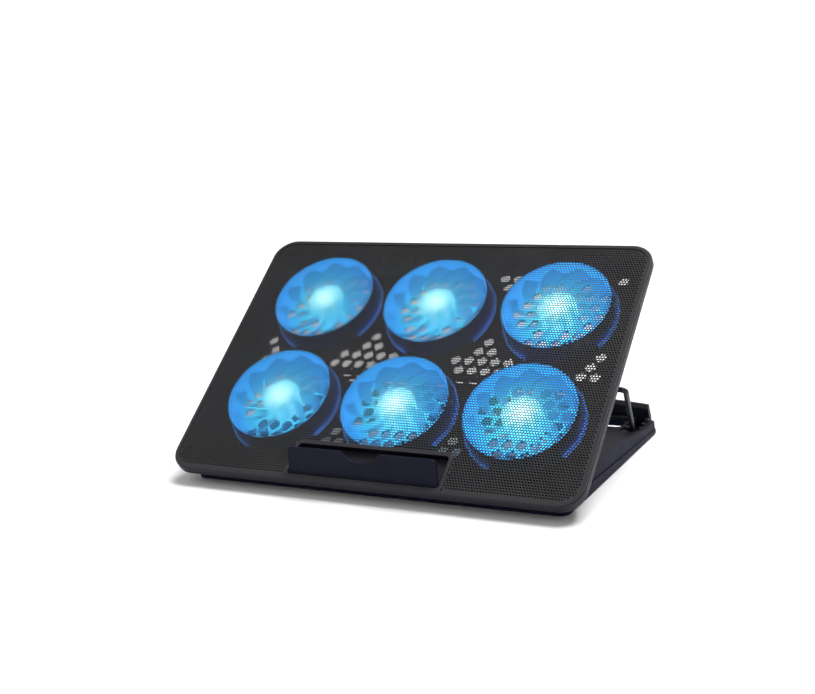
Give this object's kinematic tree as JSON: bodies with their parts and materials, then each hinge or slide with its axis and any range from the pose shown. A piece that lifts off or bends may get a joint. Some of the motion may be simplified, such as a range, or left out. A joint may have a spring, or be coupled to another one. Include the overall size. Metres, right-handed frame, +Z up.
{
  "type": "laptop cooling pad",
  "caption": "Tilting laptop cooling pad: perforated deck over blue fans, front stop flap, socket pod and switch, held up from a frame base by a wire prop.",
  "frame": {"origin": "on the desk, under the middle of the whole footprint at the rest tilt", "axes": "+Z up, +Y to the rear, +X to the user's right"},
  "size_m": [0.38, 0.2424, 0.1759],
  "materials": {
    "frame_plastic": "fine moulded satin",
    "shell_plastic": "moulded, slight texture",
    "base_plastic": "moulded, slight texture",
    "wall_plastic": "moulded",
    "flap_plastic": "satin",
    "housing_plastic": "translucent blue moulding, seen lit",
    "fan_plastic": "translucent blue",
    "light_guide": "translucent light guide",
    "mesh_steel": "powder coat, finely perforated",
    "pin_steel": "zinc plated",
    "wire_steel": "black coated wire",
    "socket_steel": "plated",
    "copper": "enamelled winding",
    "board": "solder mask",
    "rubber": "matt"
  },
  "bodies": {
    "base": {"base_frame": "base_plastic", "rear_wall": "wall_plastic", "notch_rack_left": "wall_plastic", "notch_rack_right": "wall_plastic", "rubber_feet": "rubber", "tilt_pin_left": "pin_steel", "tilt_pin_right": "pin_steel"},
    "pad": {"top_frame": "frame_plastic", "mesh_panel": "mesh_steel", "bottom_shell": "shell_plastic", "fan_housing_1": "housing_plastic", "fan_stator_1": "copper", "light_guide_1": "light_guide", "fan_housing_2": "housing_plastic", "fan_stator_2": "copper", "light_guide_2": "light_guide", "fan_housing_3": "housing_plastic", "fan_stator_3": "copper", "light_guide_3": "light_guide", "fan_housing_4": "housing_plastic", "fan_stator_4": "copper", "light_guide_4": "light_guide", "fan_housing_5": "housing_plastic", "fan_stator_5": "copper", "light_guide_5": "light_guide", "fan_housing_6": "housing_plastic", "fan_stator_6": "copper", "light_guide_6": "light_guide", "fan_screws": "pin_steel", "frame_screws": "pin_steel", "socket_board": "board", "usb_socket_1": "socket_steel", "usb_socket_2": "socket_steel", "switch_body": "wall_plastic", "prop_clip_left": "wall_plastic", "prop_clip_right": "wall_plastic", "clip_screws": "pin_steel"},
    "flap": {"flap": "flap_plastic"},
    "rocker": {"switch_rocker": "wall_plastic"},
    "prop": {"prop_wire": "wire_steel"},
    "rotor_1": {"fan_rotor_1": "fan_plastic"},
    "rotor_2": {"fan_rotor_2": "fan_plastic"},
    "rotor_3": {"fan_rotor_3": "fan_plastic"},
    "rotor_4": {"fan_rotor_4": "fan_plastic"},
    "rotor_5": {"fan_rotor_5": "fan_plastic"},
    "rotor_6": {"fan_rotor_6": "fan_plastic"}
  },
  "joints": [
    {"name": "pad_tilt", "type": "hinge", "parent": "base", "child": "pad", "pos_m": [0, -0.0584, 0.02572], "axis": [1, 0, 0], "range_deg": [-12, 0]},
    {"name": "prop_fold", "type": "hinge", "parent": "pad", "child": "prop", "pos_m": [0, 0.00707, 0.07255], "axis": [1, 0, 0], "range_deg": [0, 21.72]},
    {"name": "flap_fold", "type": "hinge", "parent": "pad", "child": "flap", "pos_m": [0, -0.11324, 0.01851], "axis": [1, 0, 0], "range_deg": [-57, 0]},
    {"name": "power_rocker", "type": "hinge", "parent": "pad", "child": "rocker", "pos_m": [-0.0415, 0.10595, 0.16256], "axis": [1, 0, 0], "range_deg": [0, 12]},
    {"name": "fan_spin_1", "type": "hinge", "parent": "pad", "child": "rotor_1", "pos_m": [-0.115, -0.04234, 0.0589], "axis": [0, -0.5878, 0.809], "continuous": true},
    {"name": "fan_spin_2", "type": "hinge", "parent": "pad", "child": "rotor_2", "pos_m": [0, -0.04234, 0.0589], "axis": [0, -0.5878, 0.809], "continuous": true},
    {"name": "fan_spin_3", "type": "hinge", "parent": "pad", "child": "rotor_3", "pos_m": [0.115, -0.04234, 0.0589], "axis": [0, -0.5878, 0.809], "continuous": true},
    {"name": "fan_spin_4", "type": "hinge", "parent": "pad", "child": "rotor_4", "pos_m": [-0.115, 0.0507, 0.12649], "axis": [0, -0.5878, 0.809], "continuous": true},
    {"name": "fan_spin_5", "type": "hinge", "parent": "pad", "child": "rotor_5", "pos_m": [0, 0.0507, 0.12649], "axis": [0, -0.5878, 0.809], "continuous": true},
    {"name": "fan_spin_6", "type": "hinge", "parent": "pad", "child": "rotor_6", "pos_m": [0.115, 0.0507, 0.12649], "axis": [0, -0.5878, 0.809], "continuous": true}
  ],
  "couplings": [
    {"joint": "prop_fold", "follows": "pad_tilt", "ratio": -1.8017}
  ]
}
